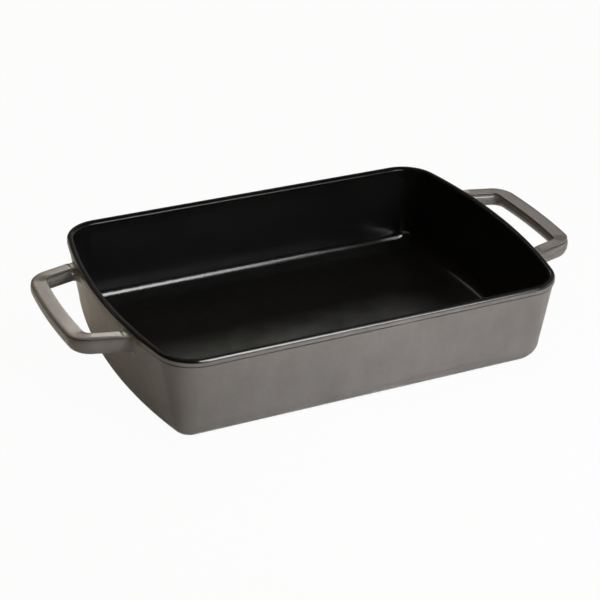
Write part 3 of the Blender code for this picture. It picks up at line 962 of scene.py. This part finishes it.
# Each lamp is a name, place, size, radiance and colour, then what differs from a plain softbox
DISH_MIDDLE = (0.0, 0.0, 0.03)
SOFT_WHITE = (1.0, 0.985, 0.985)
PALE_LILAC = (1.0, 0.95, 1.0)
CREAM_WHITE = (1.0, 0.92, 0.85)
STRAW_WHITE = (0.98, 1.0, 0.88)
WARM_WHITE = (1.0, 0.78, 0.56)
LAMPS = (
    ("Low front softbox", (0.49, -1.26, 0.32), (0.50, 0.17), 15.0, SOFT_WHITE, {}),
    ("Front softbox, bright part", (0.37, -1.26, 0.61), (0.16, 0.38), 13.0, SOFT_WHITE, {}),
    ("Front softbox, middle part", (0.505, -1.26, 0.61), (0.11, 0.38), 9.5, SOFT_WHITE, {}),
    ("Front softbox, fading part", (0.605, -1.26, 0.61), (0.09, 0.38), 4.5, SOFT_WHITE, {}),
    ("Front softbox, faint part", (0.70, -1.26, 0.61), (0.10, 0.38), 0.9, SOFT_WHITE, {}),
    ("Front softbox, right part", (0.98, -1.26, 0.61), (0.26, 0.30), 2.5, SOFT_WHITE, {}),
    ("Front softbox, left part", (0.06, -1.26, 0.61), (0.46, 0.34), 12.0, SOFT_WHITE, {"diffuse": False}),
    ("Side light", (1.25, 0.15, 1.25), (1.2, 1.2), 0.4, SOFT_WHITE, {"mirrored": False}),
    ("Back light", (0.0, 0.9, 1.5), (1.0, 1.0), 2.3, WARM_WHITE, {"mirrored": False}),
    ("Table light", (0.25, -0.85, 1.30), (0.5, 0.3), 1.28, SOFT_WHITE,
     {"aim": (0.15, -0.42, 0.0), "spread": 50.0, "mirrored": False}),
    ("Wall light", (0.40, -0.98, 0.48), (0.2, 0.2), 1.15, PALE_LILAC,
     {"aim": (0.025, -0.09, 0.080), "spread": 22.0, "mirrored": False}),
    ("Small back softbox", (0.262, 1.18, 0.82), (0.075, 0.06), 4.5, CREAM_WHITE, {}),
    ("Back card for the left handle", (0.25, 1.22, 0.77), (0.24, 0.28), 1.45, CREAM_WHITE, {}),
    ("Back card, bright part", (0.51, 1.30, 0.82), (0.26, 0.34), 3.4, STRAW_WHITE, {}),
    ("Back card, faint part", (0.71, 1.22, 0.82), (0.20, 0.34), 1.8, SOFT_WHITE, {}),
    ("Back card for the right handle", (0.93, 1.13, 0.82), (0.30, 0.28), 0.62, SOFT_WHITE, {}),
    ("Left back card", (-0.35, 1.12, 0.92), (0.18, 0.12), 2.0, SOFT_WHITE, {}),
    ("Light from below", (0.3, -0.4, -1.6), (1.2, 1.2), 2.0, SOFT_WHITE, {"mirrored": False}),
)


def add_softbox(
    name, place, size, radiance, colour, aim=DISH_MIDDLE, spread=180.0, mirrored=True, diffuse=True
):
    """A rectangular lamp at a place, facing the aim.

    The radiance is that of its face at the full spread. A narrower spread keeps the power and is brighter.
    One that isn't mirrored lights matt surfaces alone, and one that isn't diffuse shows in gloss alone.
    """
    lamp = bpy.data.lights.new(name, "AREA")
    lamp.shape = "RECTANGLE"
    lamp.size, lamp.size_y = size
    lamp.energy = radiance * math.pi * size[0] * size[1]
    lamp.color = colour
    lamp.spread = math.radians(spread)
    away = (Vector(place) - Vector(aim)).normalized()
    side = Vector((-away.y, away.x, 0.0)).normalized()
    up = away.cross(side)
    turn = Matrix((side, up, away)).transposed().to_4x4()
    item = bpy.data.objects.new(name, lamp)
    item.matrix_world = Matrix.Translation(place) @ turn
    item.visible_glossy = mirrored
    item.visible_diffuse = diffuse
    bpy.context.scene.collection.objects.link(item)


def add_camera():
    """The photograph's view, solved from the outlines of the dish and its handles."""
    azimuth = math.radians(-26.7363)
    elevation = math.radians(28.9384)
    roll = math.radians(2.0998)
    distance = 1.212486
    target = Vector((0.0, 0.0, 0.030452))
    side_offset, up_offset = 4.491 * MM, 1.0826 * MM
    flat = math.cos(elevation)
    back = Vector((math.sin(azimuth) * flat, -math.cos(azimuth) * flat, math.sin(elevation)))
    level = Vector((math.cos(azimuth), math.sin(azimuth), 0.0))
    upright = back.cross(level)
    side = level * math.cos(roll) + upright * math.sin(roll)
    up = upright * math.cos(roll) - level * math.sin(roll)
    data = bpy.data.cameras.new("Photograph view")
    data.sensor_width = 36.0
    data.lens = 107.468
    data.clip_start, data.clip_end = 0.05, 50.0
    camera = bpy.data.objects.new("Photograph view", data)
    place = target + back * distance - side * side_offset - up * up_offset
    camera.matrix_world = Matrix.Translation(place) @ Matrix((side, up, back)).transposed().to_4x4()
    bpy.context.scene.collection.objects.link(camera)
    bpy.context.scene.camera = camera


class PAN_OT_stage(bpy.types.Operator):
    """Add the pale floor, the soft studio light and the camera at the photograph's view."""

    bl_idname = "pan.stage"
    bl_label = "Stage"

    def execute(self, context):
        add_floor()
        add_world()
        for *plain, special in LAMPS:
            add_softbox(*plain, **special)
        add_camera()
        context.scene.view_settings.view_transform = "Standard"
        return {"FINISHED"}


class PAN_PT_sidebar(bpy.types.Panel):
    """The pieces of the pan, and the sizes and colours that they are made from."""

    bl_idname = "PAN_PT_sidebar"
    bl_label = "Roasting pan"
    bl_space_type = "VIEW_3D"
    bl_region_type = "UI"
    bl_category = "Roasting pan"

    def draw(self, context):
        layout = self.layout
        for operator in (PAN_OT_outer_coat, PAN_OT_inner_coat, PAN_OT_handles, PAN_OT_stage):
            layout.operator(operator.bl_idname)
        for heading, group in (
            ("Dish", context.scene.pan_sizes),
            ("Handles", context.scene.handle_sizes),
            ("Enamel", context.scene.enamel_colours),
        ):
            box = layout.box()
            box.label(text=heading)
            for name in group.__annotations__:
                box.prop(group, name)


CLASSES = (
    PanSizes,
    HandleSizes,
    EnamelColours,
    PAN_OT_outer_coat,
    PAN_OT_inner_coat,
    PAN_OT_handles,
    PAN_OT_stage,
    PAN_PT_sidebar,
)


def register():
    """Make the sizes, colours, operators and panel known to Blender."""
    for item in CLASSES:
        bpy.utils.register_class(item)
    bpy.types.Scene.pan_sizes = PointerProperty(type=PanSizes)
    bpy.types.Scene.handle_sizes = PointerProperty(type=HandleSizes)
    bpy.types.Scene.enamel_colours = PointerProperty(type=EnamelColours)


def unregister():
    """Take them back in the opposite order."""
    del bpy.types.Scene.enamel_colours
    del bpy.types.Scene.handle_sizes
    del bpy.types.Scene.pan_sizes
    for item in reversed(CLASSES):
        bpy.utils.unregister_class(item)


def main():
    """Build the pieces and the stage."""
    register()
    bpy.ops.pan.outer_coat()
    bpy.ops.pan.inner_coat()
    bpy.ops.pan.handles()
    bpy.ops.pan.stage()


if __name__ == "__main__":
    main()
